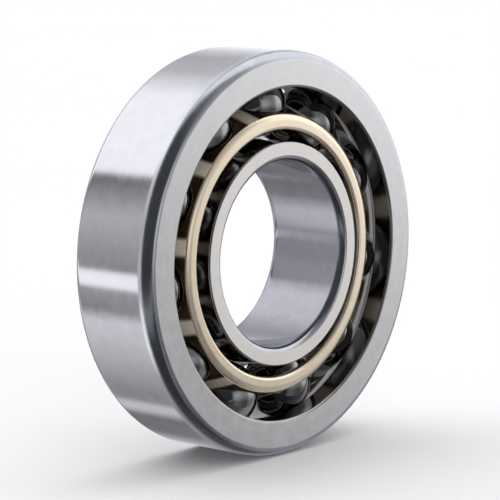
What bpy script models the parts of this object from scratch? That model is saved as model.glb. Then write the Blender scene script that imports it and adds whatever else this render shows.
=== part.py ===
"""Single-row angular contact ball bearing: two rings, a turned brass cage and its balls.

The bearing stands on its rim. Its axis is world Y, and the wide face of the outer ring looks
along -Y. Each part is modelled about its own Z axis with that face up, and the empty
"bearing_axis" lays Z down along -Y. The origin is on the axis, in the plane of the balls' centres.
The inner ring stands back from the outer one, by the same amount at both faces.
"""

import math

import bmesh
import bpy
from mathutils import Matrix, Vector

MM = 0.001

# Boundary dimensions
BORE_RADIUS = 27.5 * MM
OUTSIDE_RADIUS = 60.0 * MM
WIDTH = 29.0 * MM
SETBACK = 1.6 * MM

# Balls and their tracks
BALL_COUNT = 11
BALL_RADIUS = 10.319 * MM
CONTACT_ANGLE = math.radians(40.0)
TRACK_CONFORMITY = 0.52
TRACK_GAP = 0.25 * MM
FIRST_BALL_ANGLE = math.radians(90.0)
LIP_ANGLE = math.radians(12.0)

# Ring shoulders, seen from the wide face of the outer ring
OUTER_HIGH_SHOULDER = 49.2 * MM
OUTER_THIN_EDGE = 55.0 * MM
INNER_HIGH_SHOULDER = 38.3 * MM
INNER_THIN_EDGE = 33.2 * MM
LIP_LENGTH = 1.1 * MM

# Corners
WIDE_CORNER = 2.6 * MM
NARROW_CORNER = 1.5 * MM
BORE_CORNER = 2.0 * MM
EDGE_BREAK = 0.6 * MM

# Cage: a conical wall that crosses the pitch circle between the two high shoulders
CAGE_TILT = math.radians(20.5)
CAGE_WALL = 3.7 * MM
CAGE_LENGTH = 24.6 * MM
CAGE_CHAMFER = 0.5 * MM
POCKET_CLEARANCE = 0.45 * MM

# Facets and shading
EDGE_ANGLE = math.radians(35.0)
RING_FACETS = 60
CAGE_FACETS = 8 * BALL_COUNT
POCKET_FACETS = 24
BALL_SEGMENTS = 20
BALL_RINGS = 10
CORNER_STEPS = 3
TRACK_STEPS = 7

# Heights of the outer ring's faces over the balls' plane; the inner ring's faces are at -BACK and -FRONT
FRONT = (WIDTH + SETBACK) / 2
BACK = FRONT - WIDTH

PITCH_RADIUS = (BORE_RADIUS + OUTSIDE_RADIUS) / 2
TRACK_RADIUS = 2 * BALL_RADIUS * TRACK_CONFORMITY
TRACK_SHIFT = TRACK_RADIUS - BALL_RADIUS - TRACK_GAP


def clear_scene():
    for old in list(bpy.data.objects):
        bpy.data.objects.remove(old, do_unlink=True)


def new_collection(name):
    collection = bpy.data.collections.new(name)
    bpy.context.scene.collection.children.link(collection)
    return collection


def metal(name, colour, roughness):
    material = bpy.data.materials.new(name)
    material.use_nodes = True
    shader = material.node_tree.nodes["Principled BSDF"]
    shader.inputs["Base Color"].default_value = (*colour, 1.0)
    shader.inputs["Metallic"].default_value = 1.0
    shader.inputs["Roughness"].default_value = roughness
    return material


def arc(centre, radius, start, end, steps):
    """Points (r, z) on an arc; angles are in radians from +r towards +z."""
    turns = [start + (end - start) * step / steps for step in range(steps + 1)]
    return [(centre[0] + radius * math.cos(t), centre[1] + radius * math.sin(t)) for t in turns]


def outer_ring_profile():
    """Runs down the outside and back up the raceway side."""
    track_r = PITCH_RADIUS - TRACK_SHIFT * math.cos(CONTACT_ANGLE)
    track_z = -TRACK_SHIFT * math.sin(CONTACT_ANGLE)
    shoulder_angle = math.acos((OUTER_HIGH_SHOULDER - track_r) / TRACK_RADIUS)
    track = arc((track_r, track_z), TRACK_RADIUS, -LIP_ANGLE, shoulder_angle, TRACK_STEPS)
    lip_r, lip_z = track[0]
    quarter = math.pi / 2
    wide = (OUTSIDE_RADIUS - WIDE_CORNER, FRONT - WIDE_CORNER)
    narrow = (OUTSIDE_RADIUS - NARROW_CORNER, BACK + NARROW_CORNER)
    points = arc(wide, WIDE_CORNER, quarter, 0.0, CORNER_STEPS)
    points += arc(narrow, NARROW_CORNER, 0.0, -quarter, CORNER_STEPS)
    points += [
        (OUTER_THIN_EDGE + EDGE_BREAK, BACK),
        (OUTER_THIN_EDGE, BACK + EDGE_BREAK),
        (lip_r, lip_z - LIP_LENGTH),
    ]
    points += track
    points += [
        (OUTER_HIGH_SHOULDER, FRONT - EDGE_BREAK),
        (OUTER_HIGH_SHOULDER + EDGE_BREAK, FRONT),
    ]
    return points


def inner_ring_profile():
    """Runs down the raceway side and back up the bore."""
    track_r = PITCH_RADIUS + TRACK_SHIFT * math.cos(CONTACT_ANGLE)
    track_z = TRACK_SHIFT * math.sin(CONTACT_ANGLE)
    shoulder_angle = math.acos((track_r - INNER_HIGH_SHOULDER) / TRACK_RADIUS)
    half_turn = math.pi
    quarter = math.pi / 2
    start = half_turn - LIP_ANGLE
    end = half_turn + shoulder_angle
    track = arc((track_r, track_z), TRACK_RADIUS, start, end, TRACK_STEPS)
    lip_r, lip_z = track[0]
    wide = (BORE_RADIUS + WIDE_CORNER, WIDE_CORNER - FRONT)
    narrow = (BORE_RADIUS + BORE_CORNER, -BACK - BORE_CORNER)
    points = [
        (INNER_THIN_EDGE - EDGE_BREAK, -BACK),
        (INNER_THIN_EDGE, -BACK - EDGE_BREAK),
        (lip_r, lip_z + LIP_LENGTH),
    ]
    points += track
    points += [
        (INNER_HIGH_SHOULDER, EDGE_BREAK - FRONT),
        (INNER_HIGH_SHOULDER - EDGE_BREAK, -FRONT),
    ]
    points += arc(wide, WIDE_CORNER, -quarter, -half_turn, CORNER_STEPS)
    points += arc(narrow, BORE_CORNER, half_turn, quarter, CORNER_STEPS)
    return points


def cage_profile():
    """A conical wall with flat ends, small at the front and large at the back."""
    slope = math.tan(CAGE_TILT)
    half_wall = CAGE_WALL / 2 / math.cos(CAGE_TILT)
    end = CAGE_LENGTH / 2

    def wall(z, side):
        return PITCH_RADIUS - z * slope + side * half_wall

    return [
        (wall(end, 1) - CAGE_CHAMFER, end),
        (wall(end - CAGE_CHAMFER, 1), end - CAGE_CHAMFER),
        (wall(CAGE_CHAMFER - end, 1), CAGE_CHAMFER - end),
        (wall(-end, 1) - CAGE_CHAMFER, -end),
        (wall(-end, -1) + CAGE_CHAMFER, -end),
        (wall(CAGE_CHAMFER - end, -1), CAGE_CHAMFER - end),
        (wall(end - CAGE_CHAMFER, -1), end - CAGE_CHAMFER),
        (wall(end, -1) + CAGE_CHAMFER, end),
    ]


def turned(name, profile, facets, collection):
    """An object turned about its local Z axis from a closed profile of (r, z) points."""
    mesh = bpy.data.meshes.new(name)
    corners = len(profile)
    edges = [(i, (i + 1) % corners) for i in range(corners)]
    half_facet = Matrix.Rotation(math.pi / facets, 4, "Z")
    mesh.from_pydata([half_facet @ Vector((r, 0.0, z)) for r, z in profile], edges, [])
    part = bpy.data.objects.new(name, mesh)
    collection.objects.link(part)
    screw = part.modifiers.new("turn", "SCREW")
    screw.axis = "Z"
    screw.angle = 2 * math.pi
    screw.steps = facets
    screw.render_steps = facets
    screw.use_merge_vertices = True
    screw.merge_threshold = 0.01 * MM
    return part


def ball_angle(number):
    return FIRST_BALL_ANGLE + 2 * math.pi * number / BALL_COUNT


def pocket_cutter(collection):
    """Drills for all the pockets, each square to the cage's conical wall through its ball's centre."""
    drills = bmesh.new()
    reach = 4 * CAGE_WALL
    for number in range(BALL_COUNT):
        place = (
            Matrix.Rotation(ball_angle(number), 4, "Z")
            @ Matrix.Translation((PITCH_RADIUS, 0.0, 0.0))
            @ Matrix.Rotation(math.pi / 2 - CAGE_TILT, 4, "Y")
        )
        bmesh.ops.create_cone(
            drills,
            cap_ends=True,
            segments=POCKET_FACETS,
            radius1=BALL_RADIUS + POCKET_CLEARANCE,
            radius2=BALL_RADIUS + POCKET_CLEARANCE,
            depth=reach,
            matrix=place,
        )
    mesh = bpy.data.meshes.new("pocket_drills")
    drills.to_mesh(mesh)
    drills.free()
    cutter = bpy.data.objects.new("pocket_drills", mesh)
    collection.objects.link(cutter)
    cutter.hide_render = True
    cutter.display_type = "WIRE"
    return cutter


def make_cage(collection, cutters):
    cage = turned("cage", cage_profile(), CAGE_FACETS, collection)
    cut = cage.modifiers.new("pockets", "BOOLEAN")
    cut.operation = "DIFFERENCE"
    cut.solver = "EXACT"
    cut.object = pocket_cutter(cutters)
    return cage


def ball_mesh():
    ball = bmesh.new()
    bmesh.ops.create_uvsphere(ball, u_segments=BALL_SEGMENTS, v_segments=BALL_RINGS, radius=BALL_RADIUS)
    mesh = bpy.data.meshes.new("ball")
    ball.to_mesh(mesh)
    ball.free()
    mesh.shade_smooth()
    return mesh


def make_ball(number, mesh, collection):
    """A ball with its origin at its own centre and its Z axis along the axis that it spins about."""
    ball = bpy.data.objects.new(f"ball_{number + 1:02d}", mesh)
    collection.objects.link(ball)
    ball.matrix_local = (
        Matrix.Rotation(ball_angle(number), 4, "Z")
        @ Matrix.Translation((PITCH_RADIUS, 0.0, 0.0))
        @ Matrix.Rotation(-CONTACT_ANGLE, 4, "Y")
    )
    return ball


def shade_round(part):
    """Applies the part's modifiers and shades it smooth up to its edges."""
    evaluated = part.evaluated_get(bpy.context.evaluated_depsgraph_get())
    part.data = bpy.data.meshes.new_from_object(evaluated)
    part.modifiers.clear()
    part.data.shade_smooth()
    part.data.set_sharp_from_angle(angle=EDGE_ANGLE)


def build():
    clear_scene()
    parts = new_collection("angular_contact_bearing")
    cutters = new_collection("cutters")
    axis = bpy.data.objects.new("bearing_axis", None)
    axis.rotation_euler = (math.pi / 2, 0.0, 0.0)
    parts.objects.link(axis)

    ring_steel = metal("ring_steel", (0.62, 0.62, 0.64), 0.28)
    ball_steel = metal("ball_steel", (0.60, 0.60, 0.62), 0.06)
    cage_brass = metal("cage_brass", (0.80, 0.62, 0.36), 0.30)

    outer_ring = turned("outer_ring", outer_ring_profile(), RING_FACETS, parts)
    inner_ring = turned("inner_ring", inner_ring_profile(), RING_FACETS, parts)
    cage = make_cage(parts, cutters)
    for part in (outer_ring, inner_ring, cage):
        shade_round(part)
    for cutter in cutters.objects:
        cutter.parent = axis

    mesh = ball_mesh()
    mesh.materials.append(ball_steel)
    balls = [make_ball(number, mesh, parts) for number in range(BALL_COUNT)]
    for part, material in ((outer_ring, ring_steel), (inner_ring, ring_steel), (cage, cage_brass)):
        part.data.materials.append(material)
    for part in (outer_ring, inner_ring, cage, *balls):
        part.parent = axis
    bpy.context.view_layer.update()


build()
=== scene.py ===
"""Looks for the angular contact bearing: finely turned rings, a drilled cage, lapped balls, a light tent.

The bearing's axis is Y. Its wide outer face looks along -Y, and +Z is up. Profiles are lists of
(radius, y) in metres. Clock angles are measured from the top, clockwise as seen from the front.
"""

import math

import bmesh
import bpy
from mathutils import Matrix, Vector


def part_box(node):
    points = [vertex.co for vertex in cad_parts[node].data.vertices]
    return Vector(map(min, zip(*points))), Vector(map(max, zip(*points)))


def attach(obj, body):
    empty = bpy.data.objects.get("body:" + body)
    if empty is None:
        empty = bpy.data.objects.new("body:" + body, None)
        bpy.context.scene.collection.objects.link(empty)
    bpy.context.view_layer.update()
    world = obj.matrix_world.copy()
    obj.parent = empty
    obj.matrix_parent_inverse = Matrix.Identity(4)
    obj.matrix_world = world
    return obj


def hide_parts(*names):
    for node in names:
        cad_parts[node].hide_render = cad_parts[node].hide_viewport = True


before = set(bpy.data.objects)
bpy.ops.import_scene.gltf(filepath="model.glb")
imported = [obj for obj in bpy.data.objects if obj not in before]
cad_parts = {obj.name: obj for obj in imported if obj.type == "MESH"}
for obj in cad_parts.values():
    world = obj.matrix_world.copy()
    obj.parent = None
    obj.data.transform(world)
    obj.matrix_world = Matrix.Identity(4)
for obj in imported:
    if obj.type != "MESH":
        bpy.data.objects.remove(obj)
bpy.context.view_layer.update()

MM = 0.001
TURN = 2 * math.pi

# Boundary dimensions; the faces come from the frame
OUTER_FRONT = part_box("outer_ring")[0].y
OUTER_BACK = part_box("outer_ring")[1].y
INNER_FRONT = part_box("inner_ring")[0].y
INNER_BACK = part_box("inner_ring")[1].y
BORE_RADIUS = 27.5 * MM
OUTSIDE_RADIUS = 60.0 * MM

# Balls and tracks
BALL_COUNT = sum(name.startswith("ball_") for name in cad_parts)
BALL_RADIUS = 10.319 * MM
PITCH_RADIUS = (BORE_RADIUS + OUTSIDE_RADIUS) / 2
CONTACT_ANGLE = math.radians(40.0)
TRACK_RADIUS = 1.04 * BALL_RADIUS
TRACK_GAP = 0.05 * MM
TRACK_SHIFT = TRACK_RADIUS - BALL_RADIUS - TRACK_GAP
LIP_ANGLE = math.radians(12.0)
LIP_LENGTH = 1.1 * MM

# Shoulders
OUTER_HIGH_SHOULDER = 49.2 * MM
OUTER_THIN_EDGE = 55.0 * MM
INNER_HIGH_SHOULDER = 38.3 * MM
INNER_THIN_EDGE = 33.2 * MM

# Rounded corners of the rings: how far each is cut back, before and after it on the profile
SHOULDER_CUT = 0.75 * MM
TRACK_CUT = 0.15 * MM
OUTSIDE_FRONT_CUTS = (2.6 * MM, 4.1 * MM)
OUTSIDE_BACK_CUTS = (1.8 * MM, 1.5 * MM)
OUTER_THIN_CUT = 0.65 * MM
OUTER_LIP_CUT = 0.25 * MM
BORE_BACK_CUTS = (2.2 * MM, 2.5 * MM)
BORE_FRONT_CUTS = (2.6 * MM, 1.7 * MM)
INNER_THIN_CUTS = (0.4 * MM, 0.6 * MM)
INNER_LIP_CUT = 0.05 * MM

# Cage: a conical wall with a rim at each end. In front, a land runs along the inside of the rim.
CAGE_TILT = math.radians(20.5)
CAGE_WALL = 3.7 * MM
CAGE_END = 12.3 * MM
CAGE_LAND_RADIUS = 36.6 * MM
CAGE_LAND = 2.0 * MM
WALL_END = CAGE_END - 1.1 * MM
LAND_END = CAGE_END - CAGE_LAND
LAND_STEP = 0.2 * MM
LAND_STEP_CUT = 0.15 * MM
FRONT_RIM_OUTER_CUTS = (0.95 * MM, 1.7 * MM)
FRONT_RIM_INNER_CUT = 1.0 * MM
BACK_RIM_WALL_CUT = 0.6 * MM
BACK_RIM_FACE_CUT = 0.9 * MM
POCKET_RADIUS = BALL_RADIUS + 0.42 * MM
POCKET_EDGE = 0.33 * MM

# Mesh fineness
RING_STEPS = 288
TRACK_STEPS = 28
POCKET_STEPS = 96
POCKET_SPREAD = (1.0, 0.75, 0.5, 0.3, 0.14, 0.04)
POCKET_EDGE_STEPS = 5
BALL_CUTS = 17
WELD = 0.0005 * MM
CAGE_WELD = 0.003 * MM


# ---------------------------------------------------------------- shapes


def rounded(corners):
    """A closed profile from corners (point, cut before, cut after), each cut off by an elliptical arc.

    A support point just outside each arc keeps the flat stretches flat when they are shaded smooth.
    """
    steps = 7
    support = 0.12
    points = []
    count = len(corners)
    for i, (corner, cut_in, cut_out) in enumerate(corners):
        here = Vector(corner)
        before = Vector(corners[i - 1][0]) - here
        after = Vector(corners[(i + 1) % count][0]) - here
        if not cut_in:
            points.append(here)
            continue
        into = before.normalized() * cut_in
        out = after.normalized() * cut_out
        points.append(here + into * (1 + support))
        for step in range(steps + 1):
            turn = math.pi / 2 * step / steps
            points.append(here + into * (1 - math.sin(turn)) + out * (1 - math.cos(turn)))
        points.append(here + out * (1 + support))
    return points


def track(side, start, end):
    """Points of a ball track; side is 1 on the outer ring and -1 on the inner ring."""
    centre_r = PITCH_RADIUS - side * TRACK_SHIFT * math.cos(CONTACT_ANGLE)
    centre_y = side * TRACK_SHIFT * math.sin(CONTACT_ANGLE)
    points = []
    for step in range(TRACK_STEPS + 1):
        turn = start + (end - start) * step / TRACK_STEPS
        radius = centre_r + side * TRACK_RADIUS * math.cos(turn)
        y = centre_y - side * TRACK_RADIUS * math.sin(turn)
        points.append((radius, y))
    return points


def shoulder_angle(shoulder):
    """The angle at which a track meets its high shoulder."""
    reach = abs(shoulder - PITCH_RADIUS) + TRACK_SHIFT * math.cos(CONTACT_ANGLE)
    return math.acos(reach / TRACK_RADIUS)


def outer_ring_profile():
    groove = track(1, -LIP_ANGLE, shoulder_angle(OUTER_HIGH_SHOULDER))
    lip = (groove[0][0], groove[0][1] + LIP_LENGTH)
    corners = [
        ((OUTER_HIGH_SHOULDER, OUTER_FRONT), SHOULDER_CUT, SHOULDER_CUT),
        ((OUTSIDE_RADIUS, OUTER_FRONT), *OUTSIDE_FRONT_CUTS),
        ((OUTSIDE_RADIUS, OUTER_BACK), *OUTSIDE_BACK_CUTS),
        ((OUTER_THIN_EDGE, OUTER_BACK), OUTER_THIN_CUT, OUTER_THIN_CUT),
        (lip, OUTER_LIP_CUT, OUTER_LIP_CUT),
    ]
    corners += [(point, 0, 0) for point in groove[:-1]]
    corners.append((groove[-1], TRACK_CUT, TRACK_CUT))
    return rounded(corners)


def inner_ring_profile():
    groove = track(-1, -LIP_ANGLE, shoulder_angle(INNER_HIGH_SHOULDER))
    lip = (groove[0][0], groove[0][1] - LIP_LENGTH)
    corners = [
        ((INNER_HIGH_SHOULDER, INNER_BACK), SHOULDER_CUT, SHOULDER_CUT),
        ((BORE_RADIUS, INNER_BACK), *BORE_BACK_CUTS),
        ((BORE_RADIUS, INNER_FRONT), *BORE_FRONT_CUTS),
        ((INNER_THIN_EDGE, INNER_FRONT), *INNER_THIN_CUTS),
        (lip, INNER_LIP_CUT, INNER_LIP_CUT),
    ]
    corners += [(point, 0, 0) for point in groove[:-1]]
    corners.append((groove[-1], TRACK_CUT, TRACK_CUT))
    return rounded(corners)


def finished(name, shape, weld):
    """An object from a bmesh, welded, with its faces pointing out and shaded smooth."""
    bmesh.ops.remove_doubles(shape, verts=shape.verts, dist=weld)
    bmesh.ops.recalc_face_normals(shape, faces=shape.faces)
    mesh = bpy.data.meshes.new(name)
    shape.to_mesh(mesh)
    shape.free()
    mesh.shade_smooth()
    piece = bpy.data.objects.new(name, mesh)
    bpy.context.scene.collection.objects.link(piece)
    return piece


def turned(name, profile):
    """A closed profile of (radius, y) spun about Y."""
    shape = bmesh.new()
    verts = [shape.verts.new((r, y, 0)) for r, y in profile]
    edges = [shape.edges.new((verts[i - 1], verts[i])) for i in range(len(verts))]
    bmesh.ops.spin(
        shape,
        geom=verts + edges,
        cent=(0, 0, 0),
        axis=(0, 1, 0),
        angle=TURN,
        steps=RING_STEPS,
        use_merge=True,
    )
    return finished(name, shape, WELD)


def wall_radius(y, side):
    """Radius of the cage's conical wall at y; side is 1 on its outside and -1 on its inside."""
    return PITCH_RADIUS + y * math.tan(CAGE_TILT) + side * CAGE_WALL / 2 / math.cos(CAGE_TILT)


def on_wall(angle, y, side):
    """The wall's surface at that clock angle and y."""
    radius = wall_radius(y, side)
    return Vector((radius * math.sin(angle), y, radius * math.cos(angle)))


def drill_depth(across, along, side):
    """How far out along a pocket's drill axis the wall's surface lies, by Newton's method."""
    newton_steps = 6
    sin, cos, tan = math.sin(CAGE_TILT), math.cos(CAGE_TILT), math.tan(CAGE_TILT)
    depth = side * CAGE_WALL / 2
    for _ in range(newton_steps):
        radial = PITCH_RADIUS + along * sin + depth * cos
        radius = math.hypot(radial, across)
        miss = radius - wall_radius(along * cos - depth * sin, side)
        depth -= miss / (cos * radial / radius + sin * tan)
    return depth


def drilled(turn, radius, side, sink):
    """A point of a pocket's outline at that radius from the drill axis, sunk below the wall's surface."""
    across, along = radius * math.cos(turn), radius * math.sin(turn)
    depth = drill_depth(across, along, side) - side * sink
    radial = PITCH_RADIUS + along * math.sin(CAGE_TILT) + depth * math.cos(CAGE_TILT)
    y = along * math.cos(CAGE_TILT) - depth * math.sin(CAGE_TILT)
    return Vector((across, y, radial))


def wall_loops(side, front, back):
    """Loops of one sector's wall surface, from the sector's outline in to the pocket's rounded edge."""
    turns = [TURN * step / POCKET_STEPS for step in range(POCKET_STEPS)]
    half_sector = math.pi / BALL_COUNT
    rims, holes = [], []
    for turn in turns:
        reach = max(abs(math.cos(turn)), abs(math.sin(turn)))
        u, v = math.cos(turn) / reach, math.sin(turn) / reach
        rims.append((u * half_sector, (front + back) / 2 + v * (back - front) / 2))
        edge = drilled(turn, POCKET_RADIUS + POCKET_EDGE, side, 0)
        holes.append((math.atan2(edge.x, edge.z), edge.y))
    loops = []
    for share in POCKET_SPREAD:
        loop = []
        for (rim_angle, rim_y), (hole_angle, hole_y) in zip(rims, holes):
            angle = hole_angle + share * (rim_angle - hole_angle)
            y = hole_y + share * (rim_y - hole_y)
            loop.append(on_wall(angle, y, side))
        loops.append(loop)
    for step in range(POCKET_EDGE_STEPS + 1):
        phi = math.pi / 2 * step / POCKET_EDGE_STEPS
        radius = POCKET_RADIUS + POCKET_EDGE * (1 - math.sin(phi))
        sink = POCKET_EDGE * (1 - math.cos(phi))
        loops.append([drilled(turn, radius, side, sink) for turn in turns])
    return loops


def front_rim_profile():
    """The cage's front rim, from the wall's outside round the land to the wall's inside."""
    return rounded(
        [
            ((wall_radius(-WALL_END, 1), -WALL_END), 0, 0),
            ((wall_radius(-CAGE_END, 1), -CAGE_END), *FRONT_RIM_OUTER_CUTS),
            ((CAGE_LAND_RADIUS, -CAGE_END), FRONT_RIM_INNER_CUT, FRONT_RIM_INNER_CUT),
            ((CAGE_LAND_RADIUS, -LAND_END - LAND_STEP), LAND_STEP_CUT, LAND_STEP_CUT),
            ((wall_radius(-LAND_END, -1), -LAND_END), 0, 0),
        ]
    )


def back_rim_profile():
    """The cage's back rim, from the wall's outside round to its inside."""
    return rounded(
        [
            ((wall_radius(WALL_END, 1), WALL_END), 0, 0),
            ((wall_radius(CAGE_END, 1), CAGE_END), BACK_RIM_WALL_CUT, BACK_RIM_FACE_CUT),
            ((wall_radius(CAGE_END, -1), CAGE_END), BACK_RIM_FACE_CUT, BACK_RIM_WALL_CUT),
            ((wall_radius(WALL_END, -1), WALL_END), 0, 0),
        ]
    )


def bridge(shape, first, second, closed):
    """Quads between two rows of vertices; closed rows join up at their ends."""
    count = len(first)
    for i in range(count if closed else count - 1):
        j = (i + 1) % count
        shape.faces.new((first[i], first[j], second[j], second[i]))


def cage_sector(shape, middle):
    """One pocket with the bars around it, centred on that clock angle."""
    place = Matrix.Rotation(middle, 4, "Y")
    outside = wall_loops(1, -WALL_END, WALL_END)
    inside = wall_loops(-1, -LAND_END, WALL_END)
    loops = outside + inside[::-1]
    rings = [[shape.verts.new(place @ point) for point in loop] for loop in loops]
    for first, second in zip(rings, rings[1:]):
        bridge(shape, first, second, True)
    # The sector's outline runs along its front in its sixth and seventh eighths, and along its back in
    # the second and third
    eighth = POCKET_STEPS // 8
    for profile, start in ((front_rim_profile(), 5 * eighth), (back_rim_profile(), eighth)):
        outline = outside[0][start : start + 2 * eighth + 1]
        angles = [math.atan2(point.x, point.z) for point in outline]
        strips = []
        for radius, y in profile:
            points = [Vector((radius * math.sin(angle), y, radius * math.cos(angle))) for angle in angles]
            strips.append([shape.verts.new(place @ point) for point in points])
        for first, second in zip(strips, strips[1:]):
            bridge(shape, first, second, False)


def make_cage():
    shape = bmesh.new()
    for number in range(BALL_COUNT):
        cage_sector(shape, TURN * number / BALL_COUNT)
    return finished("turned_cage", shape, CAGE_WELD)


def make_ball(number):
    """A ball from a cube that is cut fine and blown up round, so that it has no poles."""
    low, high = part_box(f"ball_{number:02d}")
    shape = bmesh.new()
    bmesh.ops.create_cube(shape, size=2.0)
    bmesh.ops.subdivide_edges(shape, edges=shape.edges, cuts=BALL_CUTS, use_grid_fill=True)
    for vert in shape.verts:
        vert.co = vert.co.normalized() * BALL_RADIUS
    ball = finished(f"lapped_ball_{number:02d}", shape, WELD)
    ball.location = (low + high) / 2
    return ball


# ---------------------------------------------------------------- materials


NOISE_DETAIL = 3.0
TONE_LOW = 0.3
TONE_HIGH = 0.7


class Nodes:
    """A short way to add nodes to a node tree and link them."""

    def __init__(self, tree):
        self.tree = tree

    def put(self, value, socket):
        """Links a node's output to the socket, or sets the socket to a plain value."""
        if isinstance(value, bpy.types.NodeSocket):
            self.tree.links.new(value, socket)
        else:
            socket.default_value = value

    def add(self, kind, values=None, **settings):
        made = self.tree.nodes.new(kind)
        for key, value in settings.items():
            setattr(made, key, value)
        for key, value in (values or {}).items():
            self.put(value, made.inputs[key])
        return made

    def math(self, operation, *values):
        return self.add("ShaderNodeMath", dict(enumerate(values)), operation=operation).outputs[0]

    def remap(self, value, low, high, to_low, to_high, interpolation="LINEAR"):
        values = {"Value": value, "From Min": low, "From Max": high, "To Min": to_low, "To Max": to_high}
        return self.add("ShaderNodeMapRange", values, interpolation_type=interpolation).outputs["Result"]

    def mix(self, factor, first, second):
        """A mix of two colours, whose sockets come after the mix node's number and vector sockets."""
        first_colour, second_colour, mixed_colour = 6, 7, 2
        values = {0: factor, first_colour: first, second_colour: second}
        return self.add("ShaderNodeMix", values, data_type="RGBA").outputs[mixed_colour]


def rgb(red, green, blue):
    return (red, green, blue, 1.0)


def lathe_noise(nodes, lines_per_mm):
    """Noise that is fine across the bearing's axis and its radius, and drawn out around the axis."""
    fine = lines_per_mm / MM
    drawn_out = 6.0
    place = nodes.add("ShaderNodeTexCoord").outputs["Object"]
    flat = nodes.add("ShaderNodeVectorMath", {0: place, 1: (1, 0, 1)}, operation="MULTIPLY").outputs[0]
    radius = nodes.add("ShaderNodeVectorMath", {0: flat}, operation="LENGTH").outputs["Value"]
    way = nodes.add("ShaderNodeVectorMath", {0: flat}, operation="NORMALIZE").outputs[0]
    axes = nodes.add("ShaderNodeSeparateXYZ", {0: place})
    turn = nodes.add("ShaderNodeSeparateXYZ", {0: way})
    values = {
        "X": nodes.math("MULTIPLY", radius, fine),
        "Y": nodes.math("MULTIPLY", axes.outputs["Y"], fine),
        "Z": nodes.math("MULTIPLY", turn.outputs["X"], drawn_out),
    }
    vector = nodes.add("ShaderNodeCombineXYZ", values).outputs[0]
    depth = nodes.math("MULTIPLY", turn.outputs["Z"], drawn_out)
    noise = nodes.add(
        "ShaderNodeTexNoise",
        {"Vector": vector, "W": depth, "Scale": 1.0, "Detail": NOISE_DETAIL, "Roughness": 0.6},
        noise_dimensions="4D",
    )
    return noise.outputs["Fac"]


def cloud_noise(nodes, size_mm):
    place = nodes.add("ShaderNodeTexCoord").outputs["Object"]
    values = {"Vector": place, "Scale": 1 / (size_mm * MM), "Detail": NOISE_DETAIL}
    return nodes.add("ShaderNodeTexNoise", values).outputs["Fac"]


def metal(name, dark, light, roughness, spread, lines_per_mm, depth_mm, metallic=1.0, anisotropic=0.0):
    """Machined metal: fine marks around the axis, patches of slightly other colour and gloss."""
    patch_size_mm = 4.0
    quarter_turn = 0.25
    material = bpy.data.materials.new(name)
    material.use_nodes = True
    nodes = Nodes(material.node_tree)
    shader = material.node_tree.nodes["Principled BSDF"]
    marks = lathe_noise(nodes, lines_per_mm)
    patches = cloud_noise(nodes, patch_size_mm)
    tone = nodes.math("ADD", nodes.math("MULTIPLY", marks, 0.5), nodes.math("MULTIPLY", patches, 0.5))
    colour = nodes.mix(nodes.remap(tone, TONE_LOW, TONE_HIGH, 0.0, 1.0), rgb(*dark), rgb(*light))
    gloss = nodes.remap(tone, TONE_LOW, TONE_HIGH, roughness - spread, roughness + spread)
    height = {"Height": marks, "Strength": 1.0, "Distance": depth_mm * MM}
    bump = nodes.add("ShaderNodeBump", height).outputs[0]
    shader.inputs["Metallic"].default_value = metallic
    nodes.put(colour, shader.inputs["Base Color"])
    nodes.put(gloss, shader.inputs["Roughness"])
    nodes.put(bump, shader.inputs["Normal"])
    if anisotropic:
        shader.inputs["Anisotropic"].default_value = anisotropic
        shader.inputs["Anisotropic Rotation"].default_value = quarter_turn
        tangent = nodes.add("ShaderNodeTangent", direction_type="RADIAL", axis="Y").outputs[0]
        nodes.put(tangent, shader.inputs["Tangent"])
    return material


def paint_bar_highlights(material, bar_dark, bar_light):
    """Paints the bars between a cage's pockets in brass colour, lighter than the wall's painted shade, as
    painted highlights.
    """
    bar_starts, bar_full = 0.36, 0.43
    bar_metallic = 0.3
    patch_size_mm = 2.0
    nodes = Nodes(material.node_tree)
    shader = material.node_tree.nodes["Principled BSDF"]
    painted_shade_colour = shader.inputs["Base Color"].links[0].from_socket
    place = nodes.add("ShaderNodeTexCoord").outputs["Object"]
    axes = nodes.add("ShaderNodeSeparateXYZ", {0: place})
    clock = nodes.math("ARCTAN2", axes.outputs["X"], axes.outputs["Z"])
    sectors = nodes.math("MULTIPLY", clock, BALL_COUNT / TURN)
    from_ball = nodes.math("PINGPONG", sectors, 0.5)
    # The mask of the painted highlights on the bars
    bar = nodes.remap(from_ball, bar_starts, bar_full, 0.0, 1.0, "SMOOTHSTEP")
    bar_colour = nodes.mix(cloud_noise(nodes, patch_size_mm), rgb(*bar_dark), rgb(*bar_light))
    nodes.put(nodes.mix(bar, painted_shade_colour, bar_colour), shader.inputs["Base Color"])
    nodes.put(nodes.remap(bar, 0.0, 1.0, 1.0, bar_metallic), shader.inputs["Metallic"])


def paint_by(piece, materials, choose):
    """Gives each face one of the materials.

    choose maps the radius and the y of the face's centre, and the outward and the y part of its normal, to
    the material's number.
    """
    for material in materials:
        piece.data.materials.append(material)
    for face in piece.data.polygons:
        centre = face.center
        radial = Vector((centre.x, 0, centre.z)).normalized()
        outward = face.normal.dot(radial)
        face.material_index = choose(math.hypot(centre.x, centre.z), centre.y, outward, face.normal.y)


# ---------------------------------------------------------------- the scene


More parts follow.
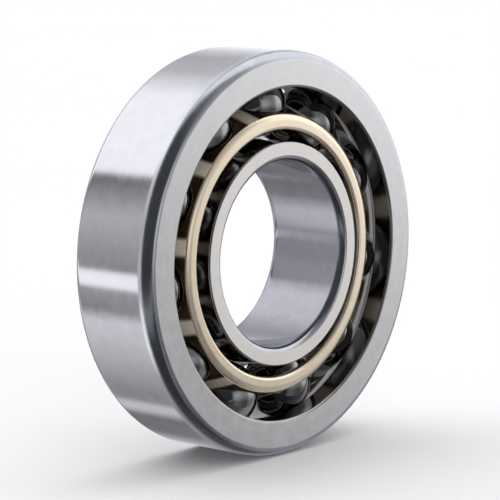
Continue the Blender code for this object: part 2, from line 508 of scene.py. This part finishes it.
def make_rings():
    face = metal(
        "ground_face",
        dark=(0.66, 0.65, 0.67),
        light=(0.80, 0.79, 0.82),
        roughness=0.22,
        spread=0.05,
        lines_per_mm=3.0,
        depth_mm=0.0017,
    )
    rim = metal(
        "ground_rim",
        dark=(0.66, 0.66, 0.68),
        light=(0.76, 0.76, 0.78),
        roughness=0.11,
        spread=0.03,
        lines_per_mm=3.6,
        depth_mm=0.0007,
        anisotropic=0.5,
    )
    # Painted reflection: the rounded outside corners and the bore's chamfers get darker, bluer steel for
    # the dark reflections they show
    corner = metal(
        "corner_with_painted_reflection",
        dark=(0.44, 0.46, 0.51),
        light=(0.58, 0.60, 0.65),
        roughness=0.20,
        spread=0.04,
        lines_per_mm=3.0,
        depth_mm=0.0010,
    )
    # Painted shade: the raceways and shoulders inside the bearing get darker steel than the rings' faces
    raceway = metal(
        "honed_raceway_in_painted_shade",
        dark=(0.34, 0.33, 0.33),
        light=(0.44, 0.43, 0.43),
        roughness=0.12,
        spread=0.03,
        lines_per_mm=4.8,
        depth_mm=0.0005,
    )
    # Painted shade: the bore has the outside's ground steel in a darker colour
    bore = metal(
        "ground_bore_in_painted_shade",
        dark=(0.38, 0.38, 0.41),
        light=(0.46, 0.46, 0.49),
        roughness=0.11,
        spread=0.03,
        lines_per_mm=3.6,
        depth_mm=0.0007,
        anisotropic=0.5,
    )
    satin = metal(
        "satin_face",
        dark=(0.78, 0.74, 0.71),
        light=(0.86, 0.83, 0.80),
        roughness=0.35,
        spread=0.05,
        lines_per_mm=3.0,
        depth_mm=0.0013,
        metallic=0.5,
    )
    end_zone, cylinder_zone, corner_zone, track_zone = range(4)
    flat = 0.995
    near_outside = OUTSIDE_RADIUS - 0.05 * MM

    def outer_zone(radius, y, outward, along):
        if abs(along) > flat:
            return end_zone
        if outward > flat and radius > near_outside:
            return cylinder_zone
        return corner_zone if outward > 0 and radius > OUTER_THIN_EDGE else track_zone

    def inner_zone(radius, y, outward, along):
        if abs(along) > flat:
            return end_zone
        if outward < -flat:
            return cylinder_zone
        return corner_zone if radius < INNER_THIN_EDGE else track_zone

    outer = turned("ground_outer_ring", outer_ring_profile())
    inner = turned("ground_inner_ring", inner_ring_profile())
    paint_by(outer, (face, rim, corner, raceway), outer_zone)
    paint_by(inner, (satin, bore, corner, raceway), inner_zone)
    for piece, node in ((outer, "outer_ring"), (inner, "inner_ring")):
        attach(piece, node)
        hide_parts(node)


def make_cage_piece():
    bright = metal(
        "turned_brass",
        dark=(0.92, 0.76, 0.57),
        light=(1.0, 0.89, 0.73),
        roughness=0.20,
        spread=0.05,
        lines_per_mm=3.0,
        depth_mm=0.0017,
        metallic=0.9,
    )
    # Painted shade: the cage's wall gets a dark copy of the rims' brass colour, for the shade between the
    # rings
    wall = metal(
        "brass_in_painted_shade",
        dark=(0.10, 0.065, 0.035),
        light=(0.18, 0.12, 0.065),
        roughness=0.30,
        spread=0.06,
        lines_per_mm=2.4,
        depth_mm=0.0017,
    )
    # Painted highlights: the bars between the pockets get a lighter brass colour over the wall's painted
    # shade
    paint_bar_highlights(wall, bar_dark=(0.75, 0.66, 0.52), bar_light=(0.92, 0.84, 0.70))
    # The rims keep the brass colour; all the rest, the wall, gets the painted shade
    rim_zone, shaded_wall_zone = range(2)
    back_rim_starts = CAGE_END - 0.75 * MM
    below_outside = 0.03 * MM

    def zone(radius, y, outward, along):
        in_front = y < -LAND_END and radius < wall_radius(y, 1) - below_outside
        at_back = y > back_rim_starts
        return rim_zone if in_front or at_back else shaded_wall_zone

    cage = make_cage()
    paint_by(cage, (bright, wall), zone)
    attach(cage, "cage")
    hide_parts("cage")


def make_balls():
    # Painted shade: the balls' steel is darker than bright steel, so they show dark between the cage's
    # bars
    steel = metal(
        "lapped_steel_in_painted_shade",
        dark=(0.26, 0.26, 0.27),
        light=(0.34, 0.34, 0.35),
        roughness=0.05,
        spread=0.02,
        lines_per_mm=0.3,
        depth_mm=0.0002,
    )
    for number in range(1, BALL_COUNT + 1):
        ball = make_ball(number)
        ball.data.materials.append(steel)
        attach(ball, f"ball_{number:02d}")
        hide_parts(f"ball_{number:02d}")


def make_floor():
    floor_radius = 10.0
    patch_size_mm = 400.0
    shape = bmesh.new()
    bmesh.ops.create_circle(shape, cap_ends=True, segments=96, radius=floor_radius)
    floor = finished("floor", shape, MM)
    floor.location.z = -OUTSIDE_RADIUS
    material = bpy.data.materials.new("pale_floor")
    material.use_nodes = True
    nodes = Nodes(material.node_tree)
    shader = material.node_tree.nodes["Principled BSDF"]
    shade = nodes.mix(cloud_noise(nodes, patch_size_mm), rgb(0.84, 0.84, 0.84), rgb(0.86, 0.86, 0.86))
    nodes.put(shade, shader.inputs["Base Color"])
    shader.inputs["Roughness"].default_value = 0.9
    floor.data.materials.append(material)
    floor.visible_glossy = False


def make_soft_light(name, strength, spread, from_way):
    """A sun spread over that many degrees. It lights the floor and satin surfaces; reflections omit it."""
    light = bpy.data.lights.new(name, "SUN")
    light.energy = strength
    light.angle = math.radians(spread)
    lamp = bpy.data.objects.new(name, light)
    lamp.rotation_mode = "QUATERNION"
    lamp.rotation_quaternion = Vector(from_way).to_track_quat("Z", "Y")
    lamp.visible_glossy = False
    bpy.context.scene.collection.objects.link(lamp)


# ---------------------------------------------------------------- the light tent

# Light by clock angle, as (degrees, level)
RIM_BANDS = [
    (-180, 0.3), (-150, 0.6), (-131, 0.75), (-124, 0.25), (-112, 0.4), (-110, 1.2), (-103, 1.2),
    (-100, 0.3), (-70, 0.55), (-50, 0.2), (-47, 0.2), (-43, 1.2), (10, 1.2), (35, 0.6), (55, 0.5),
    (82, 0.95), (105, 0.8), (138, 0.2), (158, 0.2), (165, 0.7), (170, 0.7), (174, 0.3),
]
BORE_BANDS = [
    (-180, 0.35), (-160, 0.4), (-140, 1.0), (-121, 1.0), (-112, 0.6), (-82, 0.5), (-50, 0.65),
    (-32, 1.2), (0, 1.1), (40, 0.65), (60, 0.7), (80, 1.0), (92, 1.0), (112, 0.3), (165, 0.35),
]
DARK_SIDE_STRIPS = [
    (-180, 0.05), (-130, 0.05), (-122, 0.3), (-115, 0.3), (-108, 0.06), (-20, 0.08), (20, 0.35),
]
COOL_BLUE = 1.06

# Where one part of the tent gives way to the next: the y of the unit vector in that direction
BEHIND_EDGE = (0.30, 0.45)
BORE_TO_RIM_EDGE = (0.648, 0.656)
FAR_END_EDGE = (0.85, 0.95)

# The middle of the dark side, and its edge as the dot product with that direction
DARK_SIDE_WAY = (-0.75, -0.65, 0.10)
DARK_SIDE_EDGE = (-0.08, 0.32)

FAR_END = (0.55, 0.55, 0.56)
BACKDROP = (0.93, 0.93, 0.93)


def degree_ramp(nodes, angle, stops):
    """A smooth brightness by angle, from stops of (degrees, level) that start at -180 and rise."""
    share = nodes.remap(angle, -math.pi, math.pi, 0.0, 1.0)
    node = nodes.add("ShaderNodeValToRGB", {0: share})
    ramp = node.color_ramp
    ramp.elements.remove(ramp.elements[-1])
    for number, (degrees, level) in enumerate(stops):
        place = (degrees + 180) / 360
        stop = ramp.elements[0] if number == 0 else ramp.elements.new(place)
        stop.position = place
        stop.color = rgb(level, level, level * COOL_BLUE)
    return node.outputs["Color"]


def degree_step(nodes, angle, start, end, first, last):
    """A smooth step from the first level to the last, between two angles in degrees."""
    return nodes.remap(angle, math.radians(start), math.radians(end), first, last, "SMOOTHSTEP")


def open_side(nodes, round_right, rise):
    """Brightest on the right, with more light again straight in front; darker towards the floor."""
    low = degree_step(nodes, rise, -17, 1, 0.30, 1.0)
    lowest = degree_step(nodes, rise, -60, -35, 0.30, 1.0)
    fade = degree_step(nodes, round_right, 126, 142, 1.30, 0.53)
    front = degree_step(nodes, round_right, 152, 178, 1.0, 1.6)
    across = nodes.math("MULTIPLY", fade, front)
    return nodes.math("MULTIPLY", nodes.math("MULTIPLY", low, lowest), across)


def dark_side_share(nodes, way, round_right, rise):
    """How far a direction lies on the dark side: the front left, less a panel low down in front."""
    toward = nodes.add("ShaderNodeVectorMath", {0: way, 1: DARK_SIDE_WAY}, operation="DOT_PRODUCT")
    dark = nodes.remap(toward.outputs["Value"], *DARK_SIDE_EDGE, 0.0, 1.0, "SMOOTHSTEP")
    past_panel = degree_step(nodes, round_right, 183, 200, 0.0, 1.0)
    above_panel = degree_step(nodes, rise, 5, 22, 0.0, 1.0)
    return nodes.math("MULTIPLY", dark, nodes.math("MAXIMUM", past_panel, above_panel))


def make_world():
    """A light tent round the bearing, seen in the metal.

    Behind the bearing it has bands that run along the bearing's axis. Their places and levels are tuned to
    the camera's angle, from which the rim mirrors those nearer the axis, and the bore the others.
    The rest of the tent is brightest on the right. On the front left it is dark, with a few light strips.
    Seen directly, the tent is a plain backdrop.
    """
    world = bpy.data.worlds.new("light_tent")
    bpy.context.scene.world = world
    world.use_nodes = True
    nodes = Nodes(world.node_tree)
    way = nodes.add("ShaderNodeTexCoord").outputs["Generated"]
    x, y, z = nodes.add("ShaderNodeSeparateXYZ", {0: way}).outputs

    # The clock angle, the azimuth from straight behind round by the right, and the rise above the horizon
    clock = nodes.math("ARCTAN2", x, z)
    round_right = nodes.math("WRAP", nodes.math("ARCTAN2", x, y), TURN, 0.0)
    rise = nodes.math("ARCSINE", z)

    rim_bands = degree_ramp(nodes, clock, RIM_BANDS)
    bore_bands = degree_ramp(nodes, clock, BORE_BANDS)
    bands = nodes.mix(nodes.remap(y, *BORE_TO_RIM_EDGE, 0.0, 1.0), bore_bands, rim_bands)
    strips = degree_ramp(nodes, clock, DARK_SIDE_STRIPS)
    dark = dark_side_share(nodes, way, round_right, rise)
    tent = nodes.mix(dark, open_side(nodes, round_right, rise), strips)

    behind = nodes.remap(y, *BEHIND_EDGE, 0.0, 1.0, "SMOOTHSTEP")
    far_end = nodes.remap(y, *FAR_END_EDGE, 0.0, 1.0, "SMOOTHSTEP")
    light = nodes.mix(behind, tent, bands)
    light = nodes.mix(far_end, light, rgb(*FAR_END))

    seen = nodes.add("ShaderNodeLightPath").outputs["Is Camera Ray"]
    nodes.put(nodes.mix(seen, light, rgb(*BACKDROP)), world.node_tree.nodes["Background"].inputs["Color"])


def make_camera():
    azimuth = math.radians(-49.0)
    elevation = math.radians(8.0)
    distance = 0.70
    back = Vector(
        (
            math.sin(azimuth) * math.cos(elevation),
            -math.cos(azimuth) * math.cos(elevation),
            math.sin(elevation),
        )
    )
    camera = bpy.data.objects.new("camera", bpy.data.cameras.new("camera"))
    bpy.context.scene.collection.objects.link(camera)
    camera.location = back * distance
    camera.rotation_mode = "QUATERNION"
    camera.rotation_quaternion = (-back).to_track_quat("-Z", "Y")
    camera.data.lens = 169
    camera.data.clip_start = 0.01
    camera.data.clip_end = 50
    bpy.context.scene.camera = camera


# ---------------------------------------------------------------- all together


make_rings()
make_cage_piece()
make_balls()
make_floor()
make_soft_light("overhead", strength=1.45, spread=100, from_way=(-0.24, 0.2, 0.95))
make_soft_light("front_fill", strength=0.7, spread=50, from_way=(-0.35, -0.8, 0.5))
make_world()
make_camera()
bpy.context.scene.view_settings.view_transform = "Standard"
